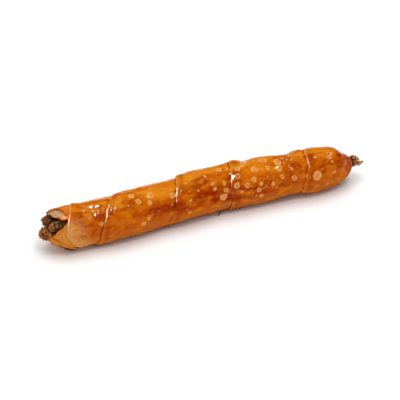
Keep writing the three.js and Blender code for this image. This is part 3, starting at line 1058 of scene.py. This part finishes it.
roast = meat_material()
filling = new_piece("filling_stick", make_stick())
fuse(filling, rough_voxel * MM)
grow(filling, mince_tree(), spread=grain_spread, lump_size=grain_size * MM, seed=grain_seed, skin=roast)
fuse(filling, fine_voxel * MM)
grow(filling, crevice_tree(), grit_height=0.5 * MM, grit_size=0.9 * MM, reach=10, skin=roast)
stick_points = read_points(filling.data) / MM
stick_x = stick_points[:, 0]
stick_off = stick_points - np.stack([stick_centre(x) for x in stick_x])
stick_angle = np.arctan2(-stick_off[:, 1], -stick_off[:, 2]) % (2 * math.pi)
at_mouth = stick_x < 0
upper = 1 - ease(turn_apart(stick_angle, 3.5), 0.5, 1.1)
charred = np.where(at_mouth, 0.5 * upper + 0.6 * ease(stick_x, -147, -141), 1 - ease(stick_x, 143.5, 146))
write_numbers(filling.data, "charred", np.clip(charred, 0, 1))
write_numbers(filling.data, "tip_tan", np.where(at_mouth, 0.15, ease(stick_x, 144, 147)))
face_outwards(filling.data)
rest_on_table(filling)
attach(filling, "root")
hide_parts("filling")

# ------------------------------------------------------------
# Crumbs. Burnt crumbs and drips of glaze that stayed on the roll, in two broken lines along the
# edges of its baked underside.
crumb_size, crumb_spread, crumb_seed = 1.05, 60000.0, 3
crumb_angle, crumb_waver = 39, 4
front_width, back_width = 0.14, 0.16
wrap_inside = 17.2


def crumb_tree():
    tree, given, place = new_shape_tree("sow_crumbs", ("Spread", "Lump size"), {"Seed": "NodeSocketInt"})
    density = times(tree, stored(tree, "crumbed"), given["Spread"])
    crumbs = sow(tree, given, density, (0.3, 0.25, 0.2), (1.5, 0.8, 0.7), (-0.5, -0.5, -0.5), (0.5, 0.5, 0.5))
    real = add(tree, "GeometryNodeRealizeInstances", {"Geometry": crumbs}).outputs[0]
    return close_tree(tree, shift(tree, real, wobble(tree, place, 1300.0, given["Lump size"])), given["Skin"])


def crumb_material():
    burnt, soot, toasted = (0.12, 0.03, 0.008), (0.02, 0.008, 0.005), (0.42, 0.13, 0.02)
    material, tree, place, surface = new_material("burnt_crumb")
    colour = blend(tree, span(tree, speckle(tree, place, 300.0, 3.0), 0.40, 0.60), burnt, soot)
    flecks = times(tree, span(tree, speckle(tree, place, 900.0), 0.5, 0.65), 0.5)
    fill(tree, surface, {
        "Base Color": blend(tree, flecks, colour, toasted),
        "Roughness": 0.6,
        "Specular IOR Level": 0.1,
    })
    return material


crumb_host = wrap.data.copy()
host_points = read_points(crumb_host) / MM
host_x = host_points[:, 0]
host_y, host_z = roll_centre(host_x)
out_y, out_z = host_y - host_points[:, 1], host_z - host_points[:, 2]
host_angle = np.arctan2(out_y, out_z)
edge_angle = np.radians(crumb_angle + crumb_waver * np.sin(host_x / 7))
edges = bell(host_angle, edge_angle, front_width) + bell(host_angle, -edge_angle, back_width)
on_outside = np.hypot(out_y, out_z) > wrap_inside
broken = 0.2 + 0.8 * ease(np.sin(host_x / 9) + np.sin(host_x / 5.3 + 2), -0.2, 0.9)
write_numbers(crumb_host, "crumbed", edges * on_outside * broken)
crumbs = new_piece("burnt_crumbs", crumb_host)
burnt_crumb = crumb_material()
grow(crumbs, crumb_tree(), spread=crumb_spread, lump_size=crumb_size * MM, seed=crumb_seed, skin=burnt_crumb)
face_outwards(crumbs.data)
rest_on_table(crumbs)
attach(crumbs, "root")
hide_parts("wrap")

# ------------------------------------------------------------
# Burnt sliver. A drip of glaze that ran off the underside on to the tray, burnt there, and tore off
# the tray with the roll. It is a thin, black, pointed splinter.
sliver_outer = ((11.5, 48, 19.2), (10.2, 45, 20.6), (9.0, 42, 22.4), (8.2, 40, 23.6))
sliver_inner = ((12.6, 48, 19.2), (11.2, 45.5, 20.8), (9.9, 42.6, 22.6), (8.6, 40.2, 23.7))
sliver_thickness = 0.8

sliver = join_tails("burnt_sliver", (make_tail(sliver_outer, sliver_inner, sliver_thickness, 0.0, 1.0),))
sliver.data.materials.append(burnt_crumb)
rest_on_table(sliver)
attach(sliver, "root")
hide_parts("wrap")

# ------------------------------------------------------------
# Stage. A plain pale table, soft studio light from above and behind, and the camera.
table_mesh = bpy.data.meshes.new("table")
half = 3.0
corners = [(-half, -half, 0), (half, -half, 0), (half, half, 0), (-half, half, 0)]
table_mesh.from_pydata(corners, [], [(0, 1, 2, 3)])
table = new_piece("table", table_mesh)
table_material = bpy.data.materials.new("pale_table")
table_material.use_nodes = True
table_tree = table_material.node_tree
fill(table_tree, table_tree.nodes["Principled BSDF"], {"Base Color": (0.9, 0.9, 0.9, 1), "Roughness": 0.9})
table_mesh.materials.append(table_material)

world = bpy.data.worlds.new("studio")
scene.world = world
world.use_nodes = True
fill(world.node_tree, world.node_tree.nodes["Background"], {"Color": (1, 1, 1, 1), "Strength": 0.6})
scene.view_settings.view_transform = "Standard"


def soft_light(name, place, size, power, mirrored, lights_matt):
    light = bpy.data.lights.new(name, "AREA")
    light.shape = "RECTANGLE"
    light.size, light.size_y = size
    light.energy = power
    lamp = new_piece(name, light)
    lamp.location = place
    lamp.visible_glossy = mirrored
    lamp.visible_diffuse = lights_matt
    lamp.rotation_euler = (-Vector(place)).to_track_quat("-Z", "Y").to_euler()


# the first two light the matt surfaces, and the last one only makes the glints on the glaze
soft_light("overhead_softbox", (0.1, 0.3, 1.4), (0.9, 0.9), 9, mirrored=False, lights_matt=True)
soft_light("key_softbox", (0.1, -0.6, 1.65), (0.3, 0.3), 6, mirrored=False, lights_matt=True)
soft_light("side_softbox", (-1.08, -0.4, 2.1), (1.0, 2.3), 270, mirrored=True, lights_matt=False)
world.cycles_visibility.glossy = False

camera_azimuth = math.radians(-23)
camera_elevation = math.radians(34.5)
camera_distance = 1.8
view_width = 0.3556
sensor_width = 36
camera_data = bpy.data.cameras.new("camera")
camera_data.sensor_width = sensor_width
camera_data.lens = sensor_width * camera_distance / view_width
camera = new_piece("camera", camera_data)
back = Vector((math.sin(camera_azimuth) * math.cos(camera_elevation),
               -math.cos(camera_azimuth) * math.cos(camera_elevation), math.sin(camera_elevation)))
aim = Vector((-0.0038, 0, 0.0131))
camera.location = aim + back * camera_distance
camera.rotation_euler = back.to_track_quat("Z", "Y").to_euler()
scene.camera = camera
